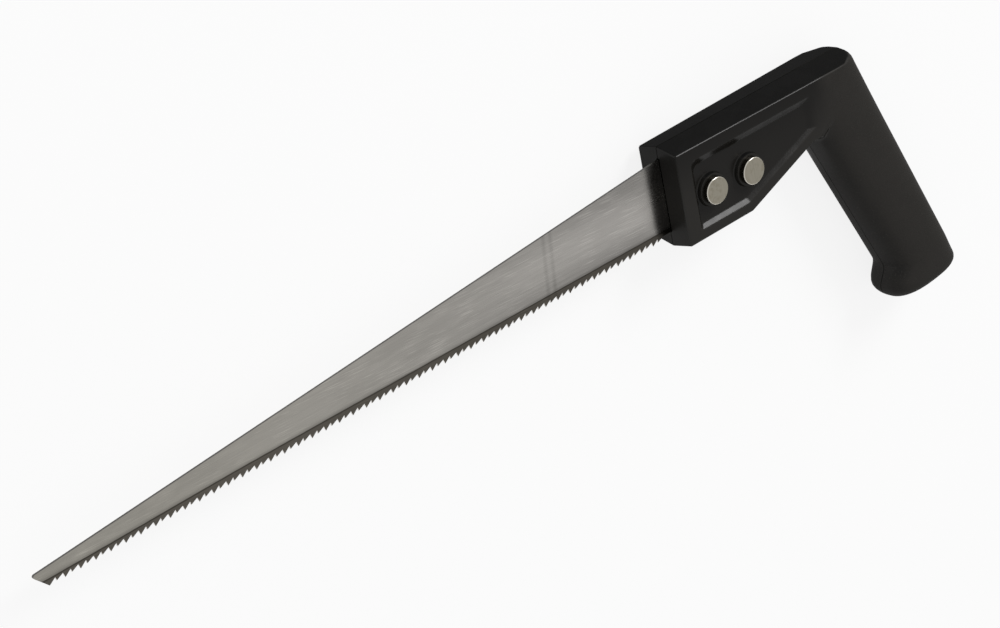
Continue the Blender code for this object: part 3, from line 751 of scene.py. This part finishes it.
floor_mesh = bpy.data.meshes.new("table")
floor_form = bmesh.new()
bmesh.ops.create_grid(floor_form, x_segments=1, y_segments=1, size=FLOOR_HALF)
floor_form.to_mesh(floor_mesh)
floor_form.free()
table = bpy.data.objects.new("table", floor_mesh)
bpy.context.scene.collection.objects.link(table)
print("table reaches", FLOOR_HALF, "m each way")

# %% [markdown]
# ## White that doesn't light the saw
#
# Enough light to turn the table white would wash out the saw. So most of the table's brightness is
# given directly to the rays of the camera and to reflections, which makes it white in both. The
# rest is lit, so it still takes the saw's soft shadow.

# %% Table white
WHITE = (1.0, 1.0, 1.0, 1.0)
FLOOR_COLOUR = (0.93, 0.93, 0.93, 1.0)
FLOOR_ROUGH = 0.9
FLOOR_SPECULAR = 0.1
FLOOR_GLOW = 0.85

table_white = bpy.data.materials.new("table_white")
table_white.use_nodes = True
tree = table_white.node_tree
shader = tree.nodes["Principled BSDF"]
shader.inputs["Base Color"].default_value = FLOOR_COLOUR
shader.inputs["Roughness"].default_value = FLOOR_ROUGH
shader.inputs["Specular IOR Level"].default_value = FLOOR_SPECULAR
rays = add_node(tree, "ShaderNodeLightPath").outputs
seen = calculate(tree, "MAXIMUM", rays["Is Camera Ray"], rays["Is Glossy Ray"])
seen = calculate(tree, "MAXIMUM", seen, rays["Is Transmission Ray"])
share = calculate(tree, "MULTIPLY", seen, FLOOR_GLOW)
glow = add_node(tree, "ShaderNodeEmission", {"Color": WHITE, "Strength": 1.0})
mixed = add_node(
    tree, "ShaderNodeMixShader", {0: share, 1: shader.outputs[0], 2: glow.outputs[0]}
)
feed(tree, tree.nodes["Material Output"].inputs["Surface"], mixed.outputs[0])
floor_mesh.materials.append(table_white)
print("share of the table's white that is given:", FLOOR_GLOW)

# %% [markdown]
# ## Light
#
# A large softbox stands behind the saw's spine. It draws the bright line in the lower wall of the
# side pocket and along the arm's top edge. A weak one stands low on the side of the teeth and
# shows in the pocket's upper wall. A lamp is set by its radiance, which is how bright it looks in
# a reflection, because its power alone says little about that.

# %% Softboxes
def softbox(name, direction, distance, size, radiance):
    """An area lamp that faces the handle. Its power follows from its size and radiance."""
    data = bpy.data.lights.new(name, "AREA")
    data.shape = "RECTANGLE"
    data.size, data.size_y = size
    data.energy = radiance * math.pi * size[0] * size[1]
    lamp = bpy.data.objects.new(name, data)
    bpy.context.scene.collection.objects.link(lamp)
    towards = Vector(direction).normalized()
    lamp.location = slot + towards * distance
    lamp.rotation_euler = towards.to_track_quat("Z", "Y").to_euler()
    lamp.visible_camera = False
    print(name, "gives", round(radiance * size[0] * size[1] / distance**2, 2), "when faced")


softbox(
    "softbox_behind",
    direction=(0.505, 0.632, 0.588),
    distance=3.0,
    size=(1.1, 1.3),
    radiance=10.5,
)
softbox(
    "softbox_low",
    direction=(0.510, -0.850, 0.120),
    distance=3.0,
    size=(1.8, 0.7),
    radiance=1.0,
)

# %% [markdown]
# ## Surround
#
# An even grey surround fills the rest of the light, as a pale room does. Together with the lamps it
# lights a flat surface so that a colour looks about as it is written.

# %% Surround and view
SURROUND = 0.55

world = bpy.data.worlds.new("surround")
world.use_nodes = True
background = world.node_tree.nodes["Background"]
background.inputs["Color"].default_value = WHITE
background.inputs["Strength"].default_value = SURROUND
bpy.context.scene.world = world
bpy.context.scene.view_settings.view_transform = "Standard"
print("surround:", SURROUND)
